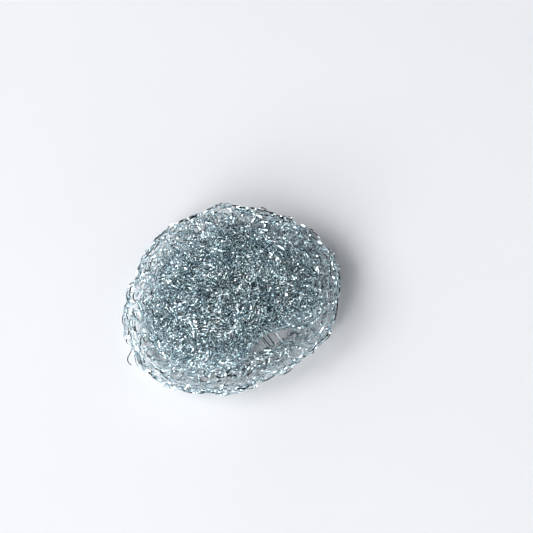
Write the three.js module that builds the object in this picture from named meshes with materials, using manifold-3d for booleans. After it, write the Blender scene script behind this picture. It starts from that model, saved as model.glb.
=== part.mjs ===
// A steel mesh scourer: one length of tube, knitted from flat steel wire and turned in on itself
// until it is a soft oval pad. Millimetres, +Z up, lying on its flattened underside at z = 0.
// The outer layer of the knit stands off the turned-in layers as an open, puffed rim.
import * as THREE from "three";
import { mergeVertices } from "three/addons/utils/BufferGeometryUtils.js";
import Module from "manifold-3d";

const wasm = await Module();
wasm.setup();

// Driving dimensions, in millimetres.
const PAD_LENGTH = 88; // long axis of the oval, along X
const PAD_WIDTH = 74.5; // short axis of the oval, along Y
const PAD_HEIGHT = 27.4; // to the crown of the bulge, under its loops
const RIM_HEIGHT = 23; // thickness of the puffed rim, which is half round
const LOBE = 1.2; // how far the oval swells and draws in at its uneven lobes
const BULGE_RUN = 24; // run of the bulge's rolled side, from the crease up to its crown
const OVERHANG = 1; // how far the bulge's rolled side stands out over the start of the rim
const CREASE_DEPTH = 4.4; // dip of the rim to the crease, on the side where it folds under most
const CREASE_LEAST = 1.6; // the same on the far side
const CREASE_RUN = 5; // width of that dip
const SKIN = 1.5; // depth of one knitted layer
const RIDGE = 1; // height of a loop over the middle of its layer
const STRAND = 1.7; // width of the knit between two gaps
const RIM_ROOM = 5.5; // free width between the rim's skin and the turned-in layers
const GATHER_DEPTH = 4; // dimple where the tube's mouth is drawn together on top
const GATHER_REST_DEPTH = 2.5; // the same dimple on the underside
const GATHER_RADIUS = 5; // spread of both dimples
const GATHER_OFFSET = 9; // the gather lies this far off the middle, along +X
const SLIT_LENGTH = 25; // the place where the rim has pulled away from the bulge
const SLIT_WIDTH = 4.8;

// Directions of the uneven shape, in degrees from +X.
const LOBE_TURN = 91;
const CREASE_TURN = 105; // where the rim folds under most
const SLIT_TURN = -71;

// Slopes, as run over rise, and how close the rows lie at the crease, in degrees of a sine.
const SLIT_LEAN = 0.25; // the slit leans in under the bulge
const ROW_CROWDING = 65;

// Counts of the knit, which is drawn coarser than the real one.
const LOBES = 3;
const WALES = 20; // loops around the pad
const FACE_ROWS = 11; // rows of loops from the upper gather to the crease
const REST_ROWS = 5; // rows of loops on the underside
const RIM_ROWS = 6; // rows of loops over the half-round rim, which show as gaps
const SLIT_ROWS = 1; // of those, the rows that give way beside the slit
const CROWDED_ROWS = 2; // rows next to the gather, where the loops close up
const SIDE_STEPS = 5; // steps up the side of the turned-in layers
const SLIT_STEPS = 6; // steps along each side of the slit

const { PI, cos, sin, acos, exp, sqrt, hypot, abs, max, min } = Math;
const radians = THREE.MathUtils.degToRad;
const smooth = (x) => THREE.MathUtils.smoothstep(x, 0, 1);
const bell = (x) => exp(-x * x);

// The knit is a grid: four columns to a loop (its hollow, slope, bump and slope) and two steps
// to a row (its edge and its middle), counted from the upper gather to the lower one.
const TURN = 2 * PI;
const COLUMNS = 4 * WALES;
const ROWS = FACE_ROWS + RIM_ROWS + REST_ROWS;
const STEPS = 2 * ROWS;
const RIM_START = 2 * FACE_ROWS;
const RIM_END = 2 * (FACE_ROWS + RIM_ROWS);
const SLOPE_STEP = 0.01; // part of a row over which the skin's slope is taken

const ROUND = RIM_HEIGHT / 2; // radius of the half-round rim
const INNER_ROUND = ROUND - SKIN;
const RIM_LIFT = acos(OVERHANG / ROUND); // where on the half round the crease lies
const QUARTER_WALE = (PI * (PAD_LENGTH + PAD_WIDTH)) / 2 / COLUMNS;
const HALF_ROW = (PI * ROUND) / (RIM_END - RIM_START);
const LOOP_TO_EDGE = (QUARTER_WALE * HALF_ROW) / hypot(QUARTER_WALE, HALF_ROW);
const SPREAD = 1 - STRAND / (2 * LOOP_TO_EDGE);

// Distance from the middle of the pad to its rim: an ellipse with uneven lobes.
function rimReach(angle) {
  const lobe = LOBE * cos(LOBES * (angle - radians(LOBE_TURN)));
  return 1 / hypot((2 * cos(angle)) / PAD_LENGTH, (2 * sin(angle)) / PAD_WIDTH) + lobe;
}

// The shoulder is where the half-round rim starts, and the crease is where the bulge meets it.
const shoulderReach = (angle) => rimReach(angle) - ROUND;
const creaseReach = (angle) => shoulderReach(angle) + OVERHANG;

// How far the rim dips to the crease: most on one side of the pad, and least opposite to it.
function creaseDepth(angle) {
  const facing = (1 + cos(angle - radians(CREASE_TURN))) / 2;
  return CREASE_LEAST + (CREASE_DEPTH - CREASE_LEAST) * facing;
}

// A point of the half-round rim at a row, as (radius, height), or of its inner skin. Its upper
// part dips towards the crease.
function rimPoint(row, angle, round) {
  const lift = RIM_LIFT - ((RIM_LIFT + PI / 2) * (row - FACE_ROWS)) / RIM_ROWS;
  const out = round * cos(lift);
  const dip = lift > 0 ? creaseDepth(angle) * smooth((OVERHANG + CREASE_RUN - out) / CREASE_RUN) : 0;
  return new THREE.Vector2(shoulderReach(angle) + out, ROUND + round * sin(lift) - dip);
}

// Height of the bulge at a radius: a quarter of an ellipse up from the crease, and the gather.
function bulgeHeight(radius, angle) {
  const foot = rimPoint(FACE_ROWS, angle, ROUND).y;
  const inside = min(1, (creaseReach(angle) - radius) / BULGE_RUN);
  const side = sqrt(1 - (1 - inside) ** 2);
  return foot + (PAD_HEIGHT - foot) * side - GATHER_DEPTH * bell(radius / GATHER_RADIUS);
}

// Height of the underside at a radius: flat where it rests, with the gather drawn up.
const restHeight = (radius) => GATHER_REST_DEPTH * bell(radius / GATHER_RADIUS);

// The pad's section as (radius, height) at a row of the knit. On the bulge the rows lie closer
// towards the crease.
function sectionPoint(row, angle) {
  if (row < FACE_ROWS) {
    const crowding = radians(ROW_CROWDING);
    const radius = (creaseReach(angle) * sin((crowding * row) / FACE_ROWS)) / sin(crowding);
    return new THREE.Vector2(radius, bulgeHeight(radius, angle));
  }
  if (row <= FACE_ROWS + RIM_ROWS) return rimPoint(row, angle, ROUND);
  const radius = (shoulderReach(angle) * (ROWS - row)) / REST_ROWS;
  return new THREE.Vector2(radius, restHeight(radius));
}

// Carries a point of the section to its place around the pad. Inside the rim the knit is
// drawn towards the gather, which lies off the middle.
function placeAround(point, angle) {
  const inward = max(0, 1 - (point.x / shoulderReach(angle)) ** 2);
  const drawn = GATHER_OFFSET * inward ** 2;
  return new THREE.Vector3(point.x * cos(angle) + drawn, point.x * sin(angle), point.y);
}

// Where a grid point of the knit lies: its row, its angle, and its height over the skin. Loops
// are staggered bumps and hollows, which close up next to the gathers. On the rim the hollows
// spread until STRAND is left between them.
function loopAt(column, step) {
  const row = step / 2;
  const angle = (TURN * column) / COLUMNS;
  const wave = WALES * angle;
  const spread = step > RIM_START && step < RIM_END ? SPREAD : 0;
  const loose = smooth(min(row, ROWS - row) / CROWDED_ROWS);
  return {
    row: row - (spread * cos(PI * row) * cos(wave)) / 2,
    angle: angle + (spread * sin(PI * row) * sin(wave) * TURN) / COLUMNS,
    height: -loose * RIDGE * sin(PI * row) * cos(wave),
  };
}

// A point of the outer surface. The underside stays on the plane that the pad rests on.
function outerPoint(column, step) {
  const { row, angle, height } = loopAt(column, step);
  const before = sectionPoint(max(0, row - SLOPE_STEP), angle);
  const after = sectionPoint(min(ROWS, row + SLOPE_STEP), angle);
  const outward = new THREE.Vector2(before.y - after.y, after.x - before.x).normalize();
  const point = sectionPoint(row, angle).addScaledVector(outward, height);
  point.y = max(0, point.y);
  return placeAround(point, angle);
}

// A point of the rim's inner skin.
function innerPoint(column, step) {
  const { row, angle } = loopAt(column, step);
  return placeAround(rimPoint(row, angle, INNER_ROUND), angle);
}

// A point up the side of the turned-in layers, which bulges towards the rim.
function sidePoint(column, step) {
  const angle = (TURN * column) / COLUMNS;
  const foot = rimPoint(FACE_ROWS + RIM_ROWS, angle, INNER_ROUND);
  const head = rimPoint(FACE_ROWS, angle, INNER_ROUND);
  const belly = new THREE.Vector2(foot.x + 2 * (INNER_ROUND - RIM_ROOM), ROUND);
  const side = new THREE.QuadraticBezierCurve(foot, belly, head);
  return placeAround(side.getPoint(step / SIDE_STEPS), angle);
}

// The slit's middle and half width as angles, seen from the middle of the pad.
const SLIT_MIDDLE = radians(SLIT_TURN);
const SLIT_REACH = creaseReach(SLIT_MIDDLE);
const SLIT_HALF = SLIT_LENGTH / 2 / SLIT_REACH;

// Whether a grid point is the middle of an open gap. The slit takes the place of the gaps
// that it would run into.
function isGap(column, step) {
  const { angle, height } = loopAt(column, step);
  if (height > -RIDGE / 2 || step < RIM_START || step > RIM_END) return false;
  const offSlit = abs(THREE.MathUtils.euclideanModulo(angle - SLIT_MIDDLE + PI, TURN) - PI);
  return offSlit > SLIT_HALF + TURN / WALES / 2 || step > RIM_START + 2 * SLIT_ROWS;
}

// Adds the points of a ring around the pad. At a gather all columns share one point.
function addRing(points, step, pointAt, count = COLUMNS) {
  const first = points.length;
  for (let column = 0; column < count; column++) points.push(pointAt(column, step));
  return (column) => first + ((column + count) % count);
}

// Adds the triangles between two rings, each square cut beside the middle of its loop, which
// is left out where it is a gap. Surfaces of the room in the rim are turned in.
function stitch(faces, upper, lower, step, { turnedIn, gaps }) {
  const add = (a, b, c) => faces.push(...(turnedIn ? [a, c, b] : [a, b, c]));
  for (let column = 0; column < COLUMNS; column++) {
    const square = [upper(column), lower(column), lower(column + 1), upper(column + 1)];
    const middleColumn = column + (column % 2);
    const middleStep = step + 1 - (step % 2);
    const middle = middleStep === step ? upper(middleColumn) : lower(middleColumn);
    const turn = square.indexOf(middle);
    const [peak, before, across, after] = square.map((_, k) => square[(turn + k) % square.length]);
    if (!gaps || !isGap(middleColumn, middleStep)) add(peak, before, after);
    add(before, across, after);
  }
}

// Adds the four walls of a gap, from the outer surface through to the inner skin.
function addGapWalls(faces, column, step, outer, inner) {
  const corners = [
    [column, step - 1],
    [column + 1, step],
    [column, step + 1],
    [column - 1, step],
  ];
  corners.forEach(([thisColumn, thisStep], k) => {
    const [nextColumn, nextStep] = corners[(k + 1) % corners.length];
    const [a, b] = [outer[thisStep](thisColumn), outer[nextStep](nextColumn)];
    const [c, d] = [inner[thisStep](thisColumn), inner[nextStep](nextColumn)];
    faces.push(b, a, c, b, c, d);
  });
}

// The whole surface of the knit: its outside, the room in the rim, and the walls of the gaps.
function knitGeometry() {
  const points = [];
  const faces = [];
  const outer = [];
  const inner = [];
  for (let step = 0; step <= STEPS; step++) {
    const count = step === 0 || step === STEPS ? 1 : COLUMNS;
    outer[step] = addRing(points, step, outerPoint, count);
    if (step > 0) stitch(faces, outer[step - 1], outer[step], step - 1, { gaps: true });
  }
  for (let step = RIM_START; step <= RIM_END; step++) {
    inner[step] = addRing(points, step, innerPoint);
    if (step === RIM_START) continue;
    stitch(faces, inner[step - 1], inner[step], step - 1, { turnedIn: true, gaps: true });
  }
  let side = inner[RIM_END];
  for (let step = 1; step <= SIDE_STEPS; step++) {
    const next = step < SIDE_STEPS ? addRing(points, step, sidePoint) : inner[RIM_START];
    stitch(faces, side, next, step, { turnedIn: true });
    side = next;
  }
  for (let step = RIM_START; step < RIM_END; step++) {
    for (let column = 0; column < COLUMNS; column++) {
      if (isGap(column, step)) addGapWalls(faces, column, step, outer, inner);
    }
  }
  return new THREE.BufferGeometry().setFromPoints(points).setIndex(faces);
}

// A solid for cutting, made from a closed three.js surface.
function solidOf(geometry) {
  const bare = new THREE.BufferGeometry();
  bare.setAttribute("position", geometry.getAttribute("position"));
  bare.setIndex(geometry.getIndex());
  const merged = mergeVertices(bare);
  const index = merged.getIndex().array;
  const triVerts = [];
  for (let i = 0; i < index.length; i += 3) {
    const [a, b, c] = index.slice(i, i + 3);
    if (a !== b && b !== c && c !== a) triVerts.push(a, b, c);
  }
  const mesh = new wasm.Mesh({
    numProp: 3,
    vertProperties: merged.getAttribute("position").array,
    triVerts: new Uint32Array(triVerts),
  });
  return new wasm.Manifold(mesh);
}

// The slit along the crease, where the rim has pulled away and the pad can be seen through: a
// lens in outline, drawn towards +X, that leans in under the bulge.
function creaseSlit() {
  const tipX = SLIT_REACH * cos(SLIT_HALF);
  const tipY = SLIT_REACH * sin(SLIT_HALF);
  const bowX = (half) => 2 * (SLIT_REACH + half) - tipX;
  const outline = new THREE.Shape();
  outline.moveTo(tipX, -tipY);
  outline.quadraticCurveTo(bowX(SLIT_WIDTH / 2), 0, tipX, tipY);
  outline.quadraticCurveTo(bowX(-SLIT_WIDTH / 2), 0, tipX, -tipY);
  const through = { depth: 3 * PAD_HEIGHT, bevelEnabled: false, curveSegments: SLIT_STEPS };
  const cut = new THREE.ExtrudeGeometry(outline, through).translate(0, 0, -2 * PAD_HEIGHT);
  cut.applyMatrix4(new THREE.Matrix4().makeShear(0, 0, 0, 0, SLIT_LEAN, 0));
  return solidOf(cut.rotateZ(SLIT_MIDDLE).translate(0, 0, RIM_HEIGHT));
}

// The finished pad, centred over its own length and width.
function padGeometry() {
  const mesh = solidOf(knitGeometry()).subtract(creaseSlit()).getMesh();
  const geometry = new THREE.BufferGeometry();
  geometry.setAttribute("position", new THREE.BufferAttribute(mesh.vertProperties, mesh.numProp));
  geometry.setIndex(new THREE.BufferAttribute(mesh.triVerts, 1));
  geometry.computeBoundingBox();
  const middle = geometry.boundingBox.getCenter(new THREE.Vector3());
  return geometry.translate(-middle.x, -middle.y, 0);
}

const steel = new THREE.MeshStandardMaterial({ color: 0x8b999f, roughness: 0.32, metalness: 1 });

const scourer = new THREE.Group();
const pad = new THREE.Mesh(padGeometry(), steel);
pad.name = "mesh_pad";
scourer.add(pad);

export default scourer;
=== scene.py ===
"""Looks of a steel mesh scourer: each wire of its knit, the bright rolled steel, and a white table.

The scourer is one tube, knitted in a spiral from flat steel wire and turned in on itself. Its outer
layer stands off as a puffed, see-through rim, and the turned-in layers lie inside it as a dense bulge.
"""

import logging
import math
from dataclasses import dataclass
from enum import Enum, IntEnum

import bpy
import numpy as np
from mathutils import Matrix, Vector


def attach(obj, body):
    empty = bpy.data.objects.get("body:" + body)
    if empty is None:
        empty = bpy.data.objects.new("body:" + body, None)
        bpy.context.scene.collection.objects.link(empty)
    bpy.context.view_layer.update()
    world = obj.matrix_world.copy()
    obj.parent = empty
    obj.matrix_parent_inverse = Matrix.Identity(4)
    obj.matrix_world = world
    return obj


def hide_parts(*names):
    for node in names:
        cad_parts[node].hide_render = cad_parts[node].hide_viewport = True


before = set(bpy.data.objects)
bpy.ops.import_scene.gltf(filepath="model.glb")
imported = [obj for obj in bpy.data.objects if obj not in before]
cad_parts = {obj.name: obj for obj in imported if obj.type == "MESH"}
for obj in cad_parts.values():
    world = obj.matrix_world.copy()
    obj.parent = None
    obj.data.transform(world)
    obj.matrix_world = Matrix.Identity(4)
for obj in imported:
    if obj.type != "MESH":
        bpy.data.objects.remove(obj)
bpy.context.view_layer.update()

Array = np.ndarray
LOG = logging.getLogger("scourer")
MM = 0.001
TURN = 2 * math.pi
NEAR_ZERO = 1e-9
PAD_NODE = "mesh_pad"
BODY = "root"
HORIZON_TONE = "#ebf3fc"


def linear(hex_colour: str) -> tuple[float, float, float, float]:
    """Turns an sRGB hex value into linear RGBA by the sRGB transfer curve.

    Args:
        hex_colour: Six hex digits after a hash sign.

    Returns:
        Linear red, green and blue, and an alpha of 1.
    """
    parts = [int(hex_colour[i : i + 2], 16) / 255 for i in (1, 3, 5)]
    red, green, blue = (p / 12.92 if p <= 0.04045 else ((p + 0.055) / 1.055) ** 2.4 for p in parts)
    return red, green, blue, 1.0


def smooth(x: Array) -> Array:
    """Eases from 0 to 1 as x does, flat at both ends: x squared times three less twice x."""
    x = np.clip(x, 0, 1)
    return x * x * (3 - 2 * x)


def unit(rows: Array) -> Array:
    """Scales each row to a length of 1."""
    return rows / np.maximum(np.linalg.norm(rows, axis=1, keepdims=True), NEAR_ZERO)


def off_turn(angle: Array, turn: float) -> Array:
    """Angles counted from a turn, the short way round."""
    return np.arctan2(np.sin(angle - turn), np.cos(angle - turn))


def bearing(azimuth: float, elevation: float) -> Vector:
    """Unit vector towards a bearing in degrees: round from the front, and up from level."""
    turn, lift = math.radians(azimuth), math.radians(elevation)
    return Vector((math.sin(turn) * math.cos(lift), -math.cos(turn) * math.cos(lift), math.sin(lift)))


def add_object(name: str, data: bpy.types.ID) -> bpy.types.Object:
    """Adds an object to the scene, at the origin.

    Args:
        name: Name of the object.
        data: Its mesh, light or camera.

    Returns:
        The new object.
    """
    made = bpy.data.objects.new(name, data)
    bpy.context.scene.collection.objects.link(made)
    return made


def bare_tree(owner: bpy.types.Material | bpy.types.World) -> bpy.types.NodeTree:
    """Empties the node tree of a material or a world.

    Args:
        owner: The material or world.

    Returns:
        Its tree, without nodes.
    """
    owner.use_nodes = True
    owner.node_tree.nodes.clear()
    return owner.node_tree


def add_node(
    tree: bpy.types.NodeTree,
    kind: str,
    settings: dict[str | int, object] | None = None,
    links: dict[str | int, bpy.types.NodeSocket] | None = None,
) -> bpy.types.Node:
    """Adds one shader node.

    Args:
        tree: The node tree it goes into.
        kind: Blender's name of the node's type.
        settings: Values of its own properties, or of its input sockets by name or index.
        links: The output socket that feeds each linked input socket, by its name or index.

    Returns:
        The new node.
    """
    node = tree.nodes.new(kind)
    for name, value in (settings or {}).items():
        if isinstance(name, str) and hasattr(node, name):
            setattr(node, name, value)
        else:
            node.inputs[name].default_value = value
    for name, source in (links or {}).items():
        tree.links.new(source, node.inputs[name])
    return node


class Waves:
    """Smooth seeded noise: a sum of sine waves with random directions, lengths and phases."""

    COUNT = 18

    def __init__(
        self, seed: int, shortest: float, longest: float, axes: int = 3, count: int = COUNT
    ) -> None:
        """Draws the waves.

        Args:
            seed: Seed of the draw.
            shortest: Shortest wave length, in the units of the points it is asked about.
            longest: Longest wave length.
            axes: Number of coordinates of a point.
            count: Number of waves.
        """
        rng = np.random.default_rng(seed)
        way = rng.normal(size=(axes, count))
        way /= np.linalg.norm(way, axis=0)
        self.way = way * TURN / rng.uniform(shortest, longest, count)
        self.phase = rng.uniform(0, TURN, count)

    def at(self, points: Array) -> Array:
        """Noise with a spread of about 1: the waves' sines added up, over the root of half their number.

        Args:
            points: One point to a row, or a plain row of numbers.

        Returns:
            One value for each point.
        """
        rows = points.reshape(len(points), -1)
        return np.sin(rows @ self.way + self.phase).sum(axis=1) / math.sqrt(len(self.phase) / 2)


def three_waves(seed: int, lengths: tuple[float, float], points: Array, count: int = Waves.COUNT) -> Array:
    """Draws three separate noises from seeds that follow each other.

    Args:
        seed: Seed of the first.
        lengths: Shortest and longest wave length.
        points: One point to a row, or a plain row of numbers.
        count: Number of waves of each.

    Returns:
        The three noises, one to a column.
    """
    axes = points.reshape(len(points), -1).shape[1]
    return np.stack([Waves(seed + i, *lengths, axes, count).at(points) for i in range(3)], axis=1)


@dataclass(frozen=True)
class Outline:
    """The pad's oval outline seen from above, in millimetres and radians."""

    length: float = 88.0
    width: float = 74.5
    rim_height: float = 23.0
    lobe: float = 1.2
    lobe_turn: float = math.radians(91)
    lobes: int = 3
    steps_round: int = 720

    def reach(self, angle: Array) -> Array:
        """Distance from the middle to the rim: the radius of an ellipse plus a wave of three lobes.

        Args:
            angle: Angles around the pad.

        Returns:
            One distance for each angle.
        """
        across = 2 * np.cos(angle) / self.length
        along = 2 * np.sin(angle) / self.width
        return 1 / np.hypot(across, along) + self.lobe * np.cos(self.lobes * (angle - self.lobe_turn))

    def shoulder(self, angle: Array) -> Array:
        """Distance from the middle to the start of the half-round rim."""
        return self.reach(angle) - self.rim_height / 2

    def middle(self) -> tuple[float, float]:
        """Finds the middle of the outline's own length and width, which goes to the origin.

        Returns:
            Its X and Y.
        """
        angle = np.linspace(0, TURN, self.steps_round + 1)
        x, y = self.reach(angle) * np.cos(angle), self.reach(angle) * np.sin(angle)
        return (x.max() + x.min()) / 2, (y.max() + y.min()) / 2


class AtSlit(Enum):
    """What the slit does to a layer: it parts the outer one, and an inner one is drawn in beside it."""

    PARTED = "parted"
    DRAWN_IN = "drawn in"


@dataclass(frozen=True)
class Section:
    """The section of one knitted layer, from its upper gather round its rim to its lower gather.

    Lengths are in millimetres and angles in radians. Places along the section are counted in courses,
    the rows of the knit.
    """

    outline: Outline
    inset: float
    bottom: float
    rim_height: float
    face_courses: float
    rim_courses: float
    rise: float = 3.0
    bulge_slope: float = 12.0
    fold_depth: float = 0.0
    fold_least: float = 0.35
    fold_turn: float = math.radians(105)
    fold_reach: float = 5.0
    fold_run: float = 7.0
    gather_radius: float = 1.6
    gather_spread: float = 5.5
    gather_depth: float = 4.0
    gather_rest_depth: float = 2.5
    gather_offset: float = 9.0
    gather_stretch: float = 0.88
    gathered_share: float = 0.7
    course_pitch: float = 2.9
    slope_step: float = 0.02
    shift: tuple[float, float] = (0.0, 0.0)
    at_slit: AtSlit = AtSlit.DRAWN_IN

    @property
    def courses(self) -> float:
        """Courses of the whole layer."""
        return 2 * self.face_courses + self.rim_courses

    def edge(self, angle: Array) -> Array:
        """Distance from the middle to the layer's edge: its inset outline, moved out by its shift."""
        along = self.shift[0] * np.cos(angle) + self.shift[1] * np.sin(angle)
        return self.outline.reach(angle) - self.inset + along

    def on_rim(self, course: Array) -> Array:
        """How far a course lies on the rim: a half sine over the rim's courses, and 0 on the faces."""
        return np.sin(math.pi * self._down_rim(course))

    def at_gather(self, course: Array) -> Array:
        """How near a course lies to a gather: 1 at it, eased to 0 at a share of the face's courses."""
        from_end = np.minimum(course, self.courses - course)
        return 1 - smooth(from_end / (self.gathered_share * self.face_courses))

    def points(self, angle: Array, course: Array) -> Array:
        """Points of the layer.

        On both faces the radius runs from the gather to the shoulder as a power of the course. Round
        the rim the point goes down a half circle. The upper face is raised by the bulge, which eases
        up from the shoulder, and lowered by the fold and by the gather, a bell. The whole layer is
        shifted, and its gather is drawn off the middle along X.

        Args:
            angle: Angles around the pad.
            course: Courses from the upper gather.

        Returns:
            One point to a row, in millimetres, before the pad is centred.
        """
        half = self.rim_height / 2
        shoulder = self.outline.reach(angle) - self.inset - half
        lift = math.pi / 2 - math.pi * self._down_rim(course)
        from_end = np.minimum(course, self.courses - course)
        on_face = np.clip(from_end / self.face_courses, 0, 1) ** self.gather_stretch
        face_radius = self.gather_radius + (shoulder - self.gather_radius) * on_face
        radius = face_radius + half * np.cos(lift)
        bell = np.exp(-((radius / self.gather_spread) ** 2))
        drawn_in = self.course_pitch * np.maximum(0, -from_end)
        bulge = self.rise * smooth((shoulder - face_radius) / self.bulge_slope)
        upper = bulge - self._fold(angle, shoulder, radius) - self.gather_depth * bell - drawn_in
        lower = self.gather_rest_depth * bell + drawn_in
        height = self.bottom + half * (1 + np.sin(lift)) + np.where(lift > 0, upper, lower)
        drawn = self.gather_offset * np.clip(1 - (radius / shoulder) ** 2, 0, 1) ** 2
        x = radius * np.cos(angle) + drawn + self.shift[0]
        return np.stack([x, radius * np.sin(angle) + self.shift[1], height], axis=1)

    def normals(self, angle: Array, course: Array) -> Array:
        """Normals of the layer: the cross product of its slopes along the courses and around.

        Both slopes are taken over a small step to both sides, in courses and in radians.

        Args:
            angle: Angles around the pad.
            course: Courses from the upper gather.

        Returns:
            Unit vectors out of the pad, one to a row.
        """
        step = self.slope_step
        down = self.points(angle, course + step) - self.points(angle, course - step)
        around = self.points(angle + step, course) - self.points(angle - step, course)
        return unit(np.cross(down, around))

    def _down_rim(self, course: Array) -> Array:
        """Share of the rim's courses that lie above a course."""
        return np.clip((course - self.face_courses) / self.rim_courses, 0, 1)

    def _fold(self, angle: Array, shoulder: Array, radius: Array) -> Array:
        """Depth of the fold between the rim and the bulge.

        It eases down from outside the shoulder, and is deepest at one turn and least opposite to it.

        Args:
            angle: Angles around the pad.
            shoulder: Distance from the middle to the start of the rim.
            radius: Distance of each point from the middle.

        Returns:
            One depth for each point.
        """
        facing = (1 + np.cos(angle - self.fold_turn)) / 2
        depth = self.fold_depth * (self.fold_least + (1 - self.fold_least) * facing)
        return depth * smooth((shoulder + self.fold_reach - radius) / self.fold_run)


@dataclass(frozen=True)
class Slit:
    """The place where the rim has pulled away from the bulge and the knit is drawn apart.

    It leans in under the bulge. Lengths are in millimetres and angles in radians.
    """

    outline: Outline
    turn: float = math.radians(-71)
    length: float = 30.0
    half_width: float = 3.2
    past_shoulder: float = 0.4
    top: float = 22.0
    lean: float = 0.25
    give: float = 9.0

    def part(self, points: Array, course_points: Array, bridging: Array) -> Array:
        """Pushes the knit to both sides of the slit.

        A point that lies off the slit's middle line by some distance goes to half the opening's width
        plus that distance, squeezed so that it meets the untouched knit where the give ends. A loop
        stays whole on the side of its own course, unless it bridges the slit.

        Args:
            points: Points of the wire, in millimetres.
            course_points: The place of each point's course, without its loop.
            bridging: True for points of loops that cross the slit.

        Returns:
            The points after the move.
        """
        radius, line, opening = self._place(points)
        off = radius - line
        course_off = np.hypot(course_points[:, 0], course_points[:, 1]) - line
        side = np.sign(np.where(bridging, off, course_off))
        kept = np.maximum(0, side * off)
        moved = side * (opening + kept * (1 - opening / self.give))
        near = (opening > 0) & (np.abs(off) < self.give)
        return self._move(points, radius, np.where(near, line + moved, radius))

    def draw_in(self, points: Array, edge: Array) -> Array:
        """Draws the edge of an inner layer in to the near side of the slit.

        The knit between the start of the give and the layer's edge is squeezed evenly, until the edge
        lies where the slit's opening begins.

        Args:
            points: Points of the wire, in millimetres.
            edge: Distance from the middle to the layer's edge at each point.

        Returns:
            The points after the move.
        """
        radius, line, opening = self._place(points)
        start = line - self.give
        wanted = edge + np.minimum(0, line - self.half_width - edge) * opening / self.half_width
        moved = start + (radius - start) * (wanted - start) / (edge - start)
        return self._move(points, radius, np.where(radius > start, moved, radius))

    def _place(self, points: Array) -> tuple[Array, Array, Array]:
        """Finds where points lie to the slit.

        The slit's middle line leans in from the top by a share of the depth. Its opening is a parabola.

        Args:
            points: Points of the wire, in millimetres.

        Returns:
            Each point's radius, the radius of the middle line there, and half the opening's width.
        """
        angle = np.arctan2(points[:, 1], points[:, 0])
        line = self.outline.shoulder(angle) + self.past_shoulder - self.lean * (self.top - points[:, 2])
        along = off_turn(angle, self.turn) * line
        opening = self.half_width * np.clip(1 - (2 * along / self.length) ** 2, 0, 1)
        return np.hypot(points[:, 0], points[:, 1]), line, opening

    @staticmethod
    def _move(points: Array, radius: Array, wanted: Array) -> Array:
        """Moves points along their radius.

        Args:
            points: The points, one to a row.
            radius: Their distance from the middle.
            wanted: The distance that they are moved to.

        Returns:
            The points after the move.
        """
        result = points.copy()
        result[:, :2] *= (wanted / np.maximum(radius, NEAR_ZERO))[:, None]
        return result


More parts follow.
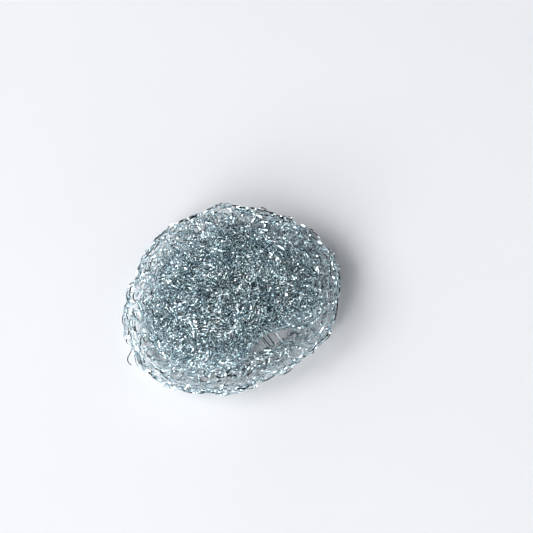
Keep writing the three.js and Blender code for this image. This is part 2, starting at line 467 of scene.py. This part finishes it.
@dataclass(frozen=True)
class Wire:
    """A flat wire along a path, in millimetres: its middle line, the skin's normals and its twist."""

    path: Array
    normal: Array
    twist: Array
    width: float
    thickness: float

    # The corners of its section, as shares of the width and of the thickness.
    SIDES = np.array([(1, 1), (-1, 1), (-1, -1), (1, -1)]) / 2
    CORNERS = len(SIDES)

    def mesh(self, name: str, middle: tuple[float, float]) -> bpy.types.Mesh:
        """Carries the wire's flat section along its path.

        Each step has four corners: half the width to both sides, along the direction across the wire
        turned by the twist, and half the thickness up and down. No corner goes below the table.

        Args:
            name: Name of the mesh.
            middle: The point that goes to the origin.

        Returns:
            A closed mesh in metres with a UV map: metres along the wire, and turns around its section.
        """
        tangent = unit(np.gradient(self.path, axis=0))
        across = unit(np.cross(tangent, self.normal))
        up = np.cross(across, tangent)
        wide = across * np.cos(self.twist)[:, None] + up * np.sin(self.twist)[:, None]
        thin = np.cross(wide, tangent)
        by_width = self.SIDES[None, :, :1] * self.width * wide[:, None, :]
        by_thickness = self.SIDES[None, :, 1:] * self.thickness * thin[:, None, :]
        places = (self.path[:, None, :] + (by_width + by_thickness)).reshape(-1, 3)
        places = places - np.array([*middle, 0.0])
        places[:, 2] = np.maximum(places[:, 2], 0)
        faces = self._faces()
        mesh = self._join(name, places * MM, faces)
        self._sharpen(mesh)
        self._lay_uv(mesh, faces)
        mesh.validate()
        return mesh

    def _faces(self) -> Array:
        """Joins the corners of each step to the next step's by four faces, and closes both ends.

        Returns:
            The faces, as rows of corner numbers.
        """
        steps = len(self.path)
        ring = np.arange(self.CORNERS)
        start = self.CORNERS * np.arange(steps - 1)[:, None]
        ahead, beside = start + ring, start + np.roll(ring, -1)
        faces = np.stack([ahead, beside, beside + self.CORNERS, ahead + self.CORNERS], axis=2)
        ends = np.array([ring[::-1], self.CORNERS * (steps - 1) + ring])
        return np.concatenate([faces.reshape(-1, self.CORNERS), ends])

    @staticmethod
    def _join(name: str, places: Array, faces: Array) -> bpy.types.Mesh:
        """Makes a smooth mesh.

        Args:
            name: Name of the mesh.
            places: Its vertices, in metres.
            faces: Its faces, as rows of vertex numbers.

        Returns:
            The new mesh.
        """
        mesh = bpy.data.meshes.new(name)
        mesh.vertices.add(len(places))
        mesh.vertices.foreach_set("co", places.astype(np.float32).ravel())
        mesh.loops.add(faces.size)
        mesh.loops.foreach_set("vertex_index", faces.astype(np.int32).ravel())
        mesh.polygons.add(len(faces))
        mesh.polygons.foreach_set("loop_start", np.arange(0, faces.size, faces.shape[1], dtype=np.int32))
        mesh.update(calc_edges=True)
        mesh.polygons.foreach_set("use_smooth", np.ones(len(faces), dtype=bool))
        return mesh

    def _sharpen(self, mesh: bpy.types.Mesh) -> None:
        """Marks the edges that run along the wire as sharp.

        Args:
            mesh: The wire's mesh.
        """
        edges = np.zeros(2 * len(mesh.edges), dtype=np.int32)
        mesh.edges.foreach_get("vertices", edges)
        step_of = edges.reshape(-1, 2) // self.CORNERS
        sharp = mesh.attributes.new("sharp_edge", "BOOLEAN", "EDGE")
        sharp.data.foreach_set("value", step_of[:, 0] != step_of[:, 1])

    def _lay_uv(self, mesh: bpy.types.Mesh, faces: Array) -> None:
        """Gives the mesh its UV map, with metres along the wire and turns around its section.

        Args:
            mesh: The wire's mesh.
            faces: Its faces, as rows of corner numbers.
        """
        lengths = np.linalg.norm(np.diff(self.path, axis=0), axis=1)
        along = np.concatenate([[0], np.cumsum(lengths)]) * MM
        side = (np.arange(len(faces)) % self.CORNERS)[:, None] + np.array([0, 1, 1, 0])
        uv = np.stack([along[faces // self.CORNERS], side / self.CORNERS], axis=2)
        mesh.uv_layers.new(name="along_wire").data.foreach_set("uv", uv.astype(np.float32).ravel())


class Draw(IntEnum):
    """What is uneven in a layer, as the step from the layer's seed to that of its draw."""

    LOOPS = 0
    PUCKER = 3
    DRIFT = 4
    WANDER = 7
    TWIST = 10
    TANGLE = 11
    LYING = 14


@dataclass(frozen=True)
class Knit:
    """How the flat wire is knitted.

    Wales are the stitches of a course, and samples the points of a stitch. Lengths are in millimetres
    and angles in radians, but a loop's reach is in courses and its waist in stitches. Each pair of waves
    is the shortest and the longest wave length of a noise: in stitches for the loops, the wander, the
    twist and the lying, and in millimetres for the others. The wire starts to lie down where its noise
    passes lie_from, and lies flat at lie_run beyond it. What is left are shares.
    """

    wales: int = 52
    samples: int = 12
    loop_reach: float = 0.88
    loop_waist: float = 0.2
    loop_depth: float = 0.45
    loop_unevenness: float = 0.24
    loop_waves: tuple[float, float] = (0.9, 4.0)
    wander: float = 0.34
    wander_waves: tuple[float, float] = (0.45, 2.2)
    pucker: float = 0.6
    pucker_waves: tuple[float, float] = (10.0, 28.0)
    drift: float = 0.5
    drift_waves: tuple[float, float] = (8.0, 26.0)
    tangle: float = 0.8
    tangle_waves: tuple[float, float] = (3.5, 8.0)
    tangle_count: int = 30
    tangle_in_skin: float = 0.7
    fray: float = 0.0
    fray_turn: float = math.radians(188)
    fray_spread: float = 0.4
    stand: float = math.radians(85)
    twist: float = 0.34
    flop: float = 0.14
    twist_waves: tuple[float, float] = (0.3, 1.2)
    lie: float = 0.0
    lie_from: float = 0.6
    lie_run: float = 0.4
    lie_calm: float = 0.75
    lie_waves: tuple[float, float] = (1.0, 4.0)
    rim_stand: float = 0.0
    rim_pull: float = 0.3
    gather_pull: float = 0.55
    wire_width: float = 0.36
    wire_thickness: float = 0.1
    bridging_share: float = 0.025

    def wire(self, section: Section, slit: Slit, seed: int) -> Wire:
        """Lays the wire of one layer, which spirals from its upper gather to its lower one.

        Args:
            section: The layer's section.
            slit: The slit that parts the knit.
            seed: Seed of the layer's unevenness.

        Returns:
            The wire along its path.
        """
        stitch = np.arange(round(section.courses * self.wales) * self.samples + 1) / self.samples
        course = stitch / self.wales
        angle, loop_course, depth = self._loops(section, stitch, seed)
        normal = section.normals(angle, loop_course)
        path = self._loosen(section.points(angle, loop_course), normal, depth, angle, stitch, seed)
        if section.at_slit is AtSlit.DRAWN_IN:
            path = slit.draw_in(path, section.edge(angle))
        else:
            path = slit.part(path, section.points(angle, course), self._bridging(stitch, seed))
        twist = self._twists(stitch, section.on_rim(course), seed)
        return Wire(path, normal, twist, self.wire_width, self.wire_thickness)

    def _loops(self, section: Section, stitch: Array, seed: int) -> tuple[Array, Array, Array]:
        """Draws the knitter's loops.

        Along the wire a loop goes forward at an even rate, with a sine of twice its turn added, which
        narrows its waist. It goes up and down by the cosine of its turn, and in and out by the cosine
        of twice its turn. Each of these is made uneven by smooth noise. Round the rim and at the gather
        the loops are pulled flat by a share.

        Args:
            section: The layer's section.
            stitch: Stitches from the start of the wire.
            seed: Seed of the layer's unevenness.

        Returns:
            The angle around the pad, the course, and the height over the layer at each place.
        """
        turn = TURN * stitch
        course = stitch / self.wales
        uneven = three_waves(seed + Draw.LOOPS, self.loop_waves, stitch)
        waist = self.loop_waist * (1 + self.loop_unevenness * uneven[:, 0])
        forward = stitch + waist * np.sin(2 * turn)
        reach = self.loop_reach * (1 + self.loop_unevenness * uneven[:, 1])
        reach = reach * (1 - self.rim_pull * section.on_rim(course))
        reach = reach * (1 - self.gather_pull * section.at_gather(course))
        depth = self.loop_depth * (1 + uneven[:, 2]) * np.cos(2 * turn)
        return TURN * forward / self.wales, course - reach * np.cos(turn), depth

    def _loosen(
        self, path: Array, normal: Array, depth: Array, angle: Array, stitch: Array, seed: int
    ) -> Array:
        """Loosens the loops by smooth noise.

        The skin puckers in and out and drifts as a whole. Its wires are tangled, mostly within the skin,
        and wander along their own length, the more so where the rim is frayed.

        Args:
            path: Points of the loops on the layer, in millimetres.
            normal: Normals of the layer there.
            depth: Height of the loops over the layer.
            angle: Angles around the pad.
            stitch: Stitches from the start of the wire.
            seed: Seed of the layer's unevenness.

        Returns:
            The points of the wire.
        """
        depth = depth + self.pucker * Waves(seed + Draw.PUCKER, *self.pucker_waves).at(path)
        drift = three_waves(seed + Draw.DRIFT, self.drift_waves, path)
        tangle = three_waves(seed + Draw.TANGLE, self.tangle_waves, path, self.tangle_count)
        tangle -= self.tangle_in_skin * normal * (tangle * normal).sum(axis=1, keepdims=True)
        wander = three_waves(seed + Draw.WANDER, self.wander_waves, stitch)
        frayed = np.exp(-((off_turn(angle, self.fray_turn) / self.fray_spread) ** 2))
        loose = self.wander * (1 + self.fray * frayed)
        path = path + normal * depth[:, None] + self.drift * drift + self.tangle * tangle
        return path + loose[:, None] * wander

    def _bridging(self, stitch: Array, seed: int) -> Array:
        """Picks a share of the loops at random, which cross the slit."""
        draw = np.random.default_rng(seed).random(int(stitch[-1]) + 2)
        return draw[stitch.astype(int)] < self.bridging_share

    def _twists(self, stitch: Array, on_rim: Array, seed: int) -> Array:
        """Twists the wire.

        It stands on edge, since it bends more easily over its flat side, and twists a little to both
        sides of that. Where it is loose it lies down flat in places, as a slow noise goes past a limit,
        but less so round the rim.

        Args:
            stitch: Stitches from the start of the wire.
            on_rim: How far each place lies on the rim.
            seed: Seed of the layer's unevenness.

        Returns:
            The turn of the wire's width out of the skin at each place.
        """
        turned = Waves(seed + Draw.TWIST, *self.twist_waves, axes=1).at(stitch)
        slow = np.abs(Waves(seed + Draw.LYING, *self.lie_waves, axes=1).at(stitch))
        lying = self.lie * smooth((slow - self.lie_from) / self.lie_run)
        lying = lying * (1 - self.rim_stand * on_rim)
        uneven_turn = self.twist * turned + self.flop * turned**3
        return self.stand * (1 - lying) + uneven_turn * (1 - self.lie_calm * lying)


@dataclass(frozen=True)
class StrayEnd:
    """A cut end of wire that has sprung out of the rim.

    Lengths are in millimetres and angles in degrees, but the roll is in radians.
    """

    turn: float
    height: float
    length: float
    outward: float
    curl: float
    droop: float
    depth: float = 0.6
    step: float = 0.4
    wave: float = 14.0
    hook: float = 0.0
    hook_from: float = 0.7
    roll: float = 0.25
    width: float = 0.36
    thickness: float = 0.18

    def wire(self, outline: Outline) -> Wire:
        """Lays the wire.

        It leaves along the rim. Its heading curls by the square of its length with a slow wave added, and
        its tip may turn back as a hook. Its flat side lies level at first and rolls over a little.

        Args:
            outline: The pad's outline.

        Returns:
            The wire along its path.
        """
        turn = math.radians(self.turn)
        outwards = np.array([math.cos(turn), math.sin(turn)])
        start = (outline.reach(np.array([turn])) - self.depth) * outwards
        along = np.arange(0, self.length, self.step)
        share = along / self.length
        heading = turn + math.radians(90 - self.outward) + np.radians(self.curl * share**2)
        heading = heading + np.radians(self.wave) * np.sin(TURN * share)
        bent = smooth((share - self.hook_from) / (1 - self.hook_from))
        heading = heading + np.radians(self.hook) * bent
        flat = np.stack([np.cos(heading), np.sin(heading)], axis=1)
        path = np.zeros((len(along), 3))
        path[:, :2] = start + self.step * np.cumsum(flat, axis=0)
        path[:, 2] = self.height - self.droop * share
        normal = np.tile([*outwards, 0.0], (len(along), 1))
        return Wire(path, normal, math.pi / 2 + self.roll * share, self.width, self.thickness)


@dataclass(frozen=True)
class RolledSteel:
    """Bright flat steel wire, drawn and then rolled smooth between steel rollers.

    Mirror-like on its flats with faint lines along the wire, so it throws hard white and black glints.
    Handling leaves it a little scuffed, which dulls it in patches. Its lines are drawn coarser and
    deeper than rollers leave them, so that they still show as a break in its glints.
    """

    bright: str = "#ecf6f8"
    dull: str = "#bfd2d9"
    patch_mm: float = 5.0
    patch_detail: float = 3.0
    dull_at: float = 0.35
    bright_at: float = 0.6
    rough_at: float = 0.3
    smooth_at: float = 0.7
    lines_round: float = 18.0
    line_length_mm: float = 6.0
    line_depth_mm: float = 0.004
    line_detail: float = 2.0
    smoothest: float = 0.04
    roughest: float = 0.14

    def material(self) -> bpy.types.Material:
        """Makes patches of two steel tones and roughness, with lines along the wire as bump.

        Returns:
            The new material.
        """
        made = bpy.data.materials.new("rolled_steel_wire")
        tree = bare_tree(made)
        place = add_node(tree, "ShaderNodeTexCoord")
        patch = add_node(
            tree,
            "ShaderNodeTexNoise",
            {"Scale": 1 / (self.patch_mm * MM), "Detail": self.patch_detail},
            {"Vector": place.outputs["Object"]},
        )
        tone = add_node(tree, "ShaderNodeValToRGB", {}, {"Fac": patch.outputs["Fac"]})
        dull, bright = tone.color_ramp.elements
        dull.position, bright.position = self.dull_at, self.bright_at
        dull.color, bright.color = linear(self.dull), linear(self.bright)
        gloss = add_node(
            tree,
            "ShaderNodeMapRange",
            {
                "From Min": self.rough_at,
                "From Max": self.smooth_at,
                "To Min": self.roughest,
                "To Max": self.smoothest,
            },
            {"Value": patch.outputs["Fac"]},
        )
        shader = add_node(
            tree,
            "ShaderNodeBsdfPrincipled",
            {"Metallic": 1.0},
            {
                "Base Color": tone.outputs["Color"],
                "Roughness": gloss.outputs["Result"],
                "Normal": self._lines(tree, place.outputs["UV"]),
            },
        )
        add_node(tree, "ShaderNodeOutputMaterial", {}, {"Surface": shader.outputs["BSDF"]})
        return made

    def _lines(self, tree: bpy.types.NodeTree, along_wire: bpy.types.NodeSocket) -> bpy.types.NodeSocket:
        """Adds the lines that the rollers leave, as noise stretched along the wire.

        Args:
            tree: The material's node tree.
            along_wire: The wire's own UV map.

        Returns:
            The output with the lines' normals.
        """
        drawn = add_node(
            tree,
            "ShaderNodeMapping",
            {"Scale": (1 / (self.line_length_mm * MM), self.lines_round, 1.0)},
            {"Vector": along_wire},
        )
        lines = add_node(
            tree,
            "ShaderNodeTexNoise",
            {"Scale": 1.0, "Detail": self.line_detail},
            {"Vector": drawn.outputs["Vector"]},
        )
        relief = add_node(
            tree,
            "ShaderNodeBump",
            {"Distance": self.line_depth_mm * MM},
            {"Height": lines.outputs["Fac"]},
        )
        return relief.outputs["Normal"]


class Layer(Enum):
    """The layers of the turned-in tube: the veil and its lining, which make the rim, and the bulge."""

    VEIL = "veil_knit"
    UPPER_BULGE = "upper_bulge_knit"
    UPPER_MIDDLE = "upper_middle_knit"
    UPPER_LINING = "upper_lining_knit"
    LOWER_BULGE = "lower_bulge_knit"
    LOWER_LINING = "lower_lining_knit"
    RIM_LINING = "rim_lining_knit"


@dataclass(frozen=True)
class Stretch:
    """One piece of the knit: its layer's section, how it is knitted and its seed."""

    section: Section
    knit: Knit
    seed: int


@dataclass(frozen=True)
class Scourer:
    """The knitted pad."""

    outline: Outline = Outline()
    finish: RolledSteel = RolledSteel()
    bulge_shift: tuple[float, float] = (0.8, -2.0)
    strays: tuple[StrayEnd, ...] = (
        StrayEnd(turn=170, height=13.5, length=17, outward=7, curl=-52, droop=2.5, hook=100),
        StrayEnd(turn=190, height=9.0, length=10, outward=12, curl=60, droop=2.0),
        StrayEnd(turn=181, height=11.0, length=9, outward=14, curl=40, droop=1.5),
        StrayEnd(turn=14, height=13.0, length=6, outward=14, curl=80, droop=1.5),
    )

    def build(self) -> list[bpy.types.Object]:
        """Makes one object for each stretch of knit and each stray end.

        Returns:
            The new objects.
        """
        slit = Slit(self.outline)
        pieces = []
        for layer, stretch in self._stretches().items():
            wire = stretch.knit.wire(stretch.section, slit, stretch.seed)
            pieces.append(self._add(layer.value, wire))
        for number, stray in enumerate(self.strays, 1):
            pieces.append(self._add(f"stray_end_{number}", stray.wire(self.outline)))
        return pieces

    def dress(self, pieces: list[bpy.types.Object]) -> None:
        """Gives every piece the wire's finish and its place in the frame.

        Args:
            pieces: The objects of the pad.
        """
        steel = self.finish.material()
        for piece in pieces:
            piece.data.materials.append(steel)
            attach(piece, BODY)
            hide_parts(PAD_NODE)

    def _add(self, name: str, wire: Wire) -> bpy.types.Object:
        """Adds one wire to the scene as an object of its own.

        Args:
            name: Name of the object.
            wire: The wire.

        Returns:
            The new object.
        """
        piece = add_object(name, wire.mesh(name, self.outline.middle()))
        LOG.info("%s: %d faces", name, len(piece.data.polygons))
        return piece

    def _stretches(self) -> dict[Layer, Stretch]:
        """Sets out the layers, one inside the other.

        Returns:
            The stretch of knit that makes each layer.
        """
        open_knit = Knit(
            wales=40, samples=16, loop_reach=0.86, loop_waist=0.24, loop_depth=0.3, loop_unevenness=0.34,
            wander=0.36, pucker=0.3, drift=0.3, tangle=0.5, fray=1.2, twist=0.2, flop=0.16, lie=1.0,
            rim_stand=1.0, rim_pull=0.15, wire_width=0.43, bridging_share=0.05,
        )
        lining_knit = Knit(
            wales=50, loop_unevenness=0.3, lie=1.0, rim_pull=0.15, gather_pull=0.2, wire_width=0.4
        )
        top_knit = Knit(lie=1.0, lie_from=1.6, lie_run=0.3)
        close_knit = Knit()
        veil = Section(
            self.outline, inset=0.0, bottom=0.3, rim_height=22.4, face_courses=9, rim_courses=13,
            rise=0.0, fold_depth=7.0, at_slit=AtSlit.PARTED,
        )
        upper = Section(
            self.outline, inset=10.5, bottom=13.5, rim_height=11.5, face_courses=13.5, rim_courses=8,
            gather_depth=3.0, shift=self.bulge_shift,
        )
        upper_middle = Section(
            self.outline, inset=11.5, bottom=13.9, rim_height=10.5, face_courses=12.5, rim_courses=6,
            gather_depth=3.0, gather_offset=7.5, shift=self.bulge_shift,
        )
        upper_lining = Section(
            self.outline, inset=13.5, bottom=14.3, rim_height=9.0, face_courses=10.5, rim_courses=5,
            gather_offset=5.0, shift=self.bulge_shift,
        )
        lower = Section(
            self.outline, inset=9.5, bottom=1.2, rim_height=12.5, face_courses=11, rim_courses=8, rise=0.0
        )
        lower_lining = Section(
            self.outline, inset=13.5, bottom=3.5, rim_height=9.0, face_courses=9, rim_courses=5,
            rise=0.0, gather_offset=2.0,
        )
        rim_lining = Section(
            self.outline, inset=5.5, bottom=4.0, rim_height=14.5, face_courses=3, rim_courses=10,
            rise=0.0, fold_depth=6.0, gather_radius=18.0, gather_offset=0.0, shift=(2.4, 2.6),
        )
        return {
            Layer.VEIL: Stretch(veil, open_knit, seed=11),
            Layer.UPPER_BULGE: Stretch(upper, top_knit, seed=31),
            Layer.UPPER_MIDDLE: Stretch(upper_middle, close_knit, seed=131),
            Layer.UPPER_LINING: Stretch(upper_lining, close_knit, seed=51),
            Layer.LOWER_BULGE: Stretch(lower, close_knit, seed=71),
            Layer.LOWER_LINING: Stretch(lower_lining, close_knit, seed=91),
            Layer.RIM_LINING: Stretch(rim_lining, lining_knit, seed=151),
        }


@dataclass(frozen=True)
class WhiteTable:
    """A white melamine table top: smooth, barely glossy, with a faint cool cast. Lengths are in metres."""

    colour: str = "#fbfafb"
    shade: str = "#f7f6f8"
    far_tone: str = HORIZON_TONE
    side: float = 40.0
    near: float = 0.18
    far: float = 0.7
    mottle_mm: float = 90.0
    roughness: float = 0.6
    specular: float = 0.2

    def build(self) -> bpy.types.Object:
        """Lays the table top under the pad as one large square.

        Returns:
            The table.
        """
        half = self.side / 2
        corners = [(-half, -half, 0), (half, -half, 0), (half, half, 0), (-half, half, 0)]
        mesh = bpy.data.meshes.new("table")
        mesh.from_pydata(corners, [], [(0, 1, 2, 3)])
        table = add_object("table", mesh)
        mesh.materials.append(self.material())
        return table

    def material(self) -> bpy.types.Material:
        """Makes a white with a slow, faint mottle, which goes over to the room's pale tone far away.

        That far tone is what is seen, directly or in the steel, so the table meets the room unseen.

        Returns:
            The new material.
        """
        made = bpy.data.materials.new("white_melamine")
        tree = bare_tree(made)
        place = add_node(tree, "ShaderNodeTexCoord").outputs["Object"]
        mottle = add_node(
            tree,
            "ShaderNodeTexNoise",
            {"Scale": 1 / (self.mottle_mm * MM)},
            {"Vector": place},
        )
        tone = add_node(tree, "ShaderNodeValToRGB", {}, {"Fac": mottle.outputs["Fac"]})
        shade, colour = tone.color_ramp.elements
        shade.color, colour.color = linear(self.shade), linear(self.colour)
        white = add_node(
            tree,
            "ShaderNodeBsdfPrincipled",
            {"Roughness": self.roughness, "Specular IOR Level": self.specular},
            {"Base Color": tone.outputs["Color"]},
        )
        pale = add_node(tree, "ShaderNodeEmission", {"Color": linear(self.far_tone)})
        surface = add_node(
            tree,
            "ShaderNodeMixShader",
            {},
            {"Fac": self._far_share(tree, place), 1: white.outputs["BSDF"], 2: pale.outputs["Emission"]},
        )
        add_node(tree, "ShaderNodeOutputMaterial", {}, {"Surface": surface.outputs["Shader"]})
        return made

    def _far_share(self, tree: bpy.types.NodeTree, place: bpy.types.NodeSocket) -> bpy.types.NodeSocket:
        """Adds the far tone's share: eased up with the distance, for camera and glossy rays alone.

        Args:
            tree: The material's node tree.
            place: The table's own coordinates.

        Returns:
            The output with the share.
        """
        distance = add_node(tree, "ShaderNodeVectorMath", {"operation": "LENGTH"}, {"Vector": place})
        away = add_node(
            tree,
            "ShaderNodeMapRange",
            {"interpolation_type": "SMOOTHSTEP", "From Min": self.near, "From Max": self.far},
            {"Value": distance.outputs["Value"]},
        )
        ray = add_node(tree, "ShaderNodeLightPath")
        seen = add_node(
            tree,
            "ShaderNodeMath",
            {"operation": "ADD", "use_clamp": True},
            {0: ray.outputs["Is Camera Ray"], 1: ray.outputs["Is Glossy Ray"]},
        )
        share = add_node(
            tree,
            "ShaderNodeMath",
            {"operation": "MULTIPLY"},
            {0: seen.outputs["Value"], 1: away.outputs["Result"]},
        )
        return share.outputs["Value"]


@dataclass(frozen=True)
class Room:
    """A room that is pale round the horizon and dark overhead, and paler on the left.

    Its tone goes by the height of the direction along an upright that leans to the right, in degrees.
    """

    tones: tuple[tuple[float, str], ...] = (
        (0.02, HORIZON_TONE),
        (0.43, "#e0ecf7"),
        (0.53, "#11181d"),
        (0.61, "#010202"),
    )
    lean: float = 20.0

    def build(self) -> None:
        """Makes the room the scene's world."""
        world = bpy.data.worlds.new("room")
        tree = bare_tree(world)
        way = add_node(tree, "ShaderNodeTexCoord")
        lean = math.radians(self.lean)
        height = add_node(
            tree,
            "ShaderNodeVectorMath",
            {"operation": "DOT_PRODUCT", 1: (math.sin(lean), 0.0, math.cos(lean))},
            {0: way.outputs["Generated"]},
        )
        tone = add_node(tree, "ShaderNodeValToRGB", {}, {"Fac": height.outputs["Value"]})
        steps = tone.color_ramp.elements
        for position, colour in self.tones:
            steps.new(position).color = linear(colour)
        steps.remove(steps[0])
        steps.remove(steps[-1])
        sky = add_node(tree, "ShaderNodeBackground", {}, {"Color": tone.outputs["Color"]})
        add_node(tree, "ShaderNodeOutputWorld", {}, {"Surface": sky.outputs["Background"]})
        bpy.context.scene.world = world


@dataclass(frozen=True)
class Softbox:
    """A rectangular studio light, aimed at the pad. Bearings are in degrees, lengths in metres."""

    name: str
    azimuth: float
    elevation: float
    distance: float
    width: float
    height: float
    share: float
    aim_height: float = 0.01

    def place(self) -> None:
        """Adds the light.

        Its power lights a level white table to its share of plain white: share times pi squared times
        the distance squared, over the sine of its elevation.
        """
        lamp = bpy.data.lights.new(self.name, "AREA")
        lamp.shape = "RECTANGLE"
        lamp.size = self.width
        lamp.size_y = self.height
        lift = math.radians(self.elevation)
        lamp.energy = self.share * math.pi**2 * self.distance**2 / math.sin(lift)
        holder = add_object(self.name, lamp)
        back = bearing(self.azimuth, self.elevation)
        holder.location = Vector((0, 0, self.aim_height)) + back * self.distance
        holder.rotation_euler = back.to_track_quat("Z", "Y").to_euler()


@dataclass(frozen=True)
class Camera:
    """The view down on the pad. Angles are in degrees, lengths in millimetres."""

    azimuth: float = -26.0
    elevation: float = 70.0
    lens: float = 85.0
    sensor: float = 36.0
    view_width: float = 215.2
    aim_height: float = 11.0
    slide_right: float = 14.9
    slide_up: float = 12.1
    nearest: float = 10.0

    def place(self) -> None:
        """Adds the camera.

        It stands back so that the view is view_width wide at the pad, which is the lens times that
        width over the sensor's, and slides sideways and up in its own plane.
        """
        turn = math.radians(self.azimuth)
        back = bearing(self.azimuth, self.elevation)
        right = Vector((math.cos(turn), math.sin(turn), 0))
        up = back.cross(right)
        distance = self.lens * self.view_width / self.sensor
        spot = Vector((0, 0, self.aim_height)) + back * distance
        spot = spot + right * self.slide_right + up * self.slide_up
        data = bpy.data.cameras.new("camera")
        data.lens = self.lens
        data.sensor_width = self.sensor
        data.clip_start = self.nearest * MM
        holder = add_object("camera", data)
        holder.location = spot * MM
        holder.rotation_euler = back.to_track_quat("Z", "Y").to_euler()
        bpy.context.scene.camera = holder


@dataclass(frozen=True)
class Studio:
    """The white table in its room, the camera, and soft lights.

    The lights are a key on the left, a weak fill on the right and a strip at the front left.
    """

    table: WhiteTable = WhiteTable()
    room: Room = Room()
    camera: Camera = Camera()
    lights: tuple[Softbox, ...] = (
        Softbox("key_light", azimuth=-112, elevation=46, distance=2.9, width=1.7, height=1.7, share=0.43),
        Softbox("fill_light", azimuth=60, elevation=40, distance=2.9, width=1.45, height=1.45, share=0.07),
        Softbox("strip_light", azimuth=-58, elevation=35, distance=2.9, width=0.77, height=2.2, share=0.31),
    )

    def build(self) -> None:
        """Places everything that isn't the scourer."""
        self.table.build()
        for light in self.lights:
            light.place()
        self.camera.place()
        self.room.build()
        bpy.context.scene.view_settings.view_transform = "Standard"


def main() -> None:
    """Builds the scourer and its studio."""
    logging.basicConfig(level=logging.INFO)
    scourer = Scourer()
    scourer.dress(scourer.build())
    Studio().build()


if __name__ == "__main__":
    main()
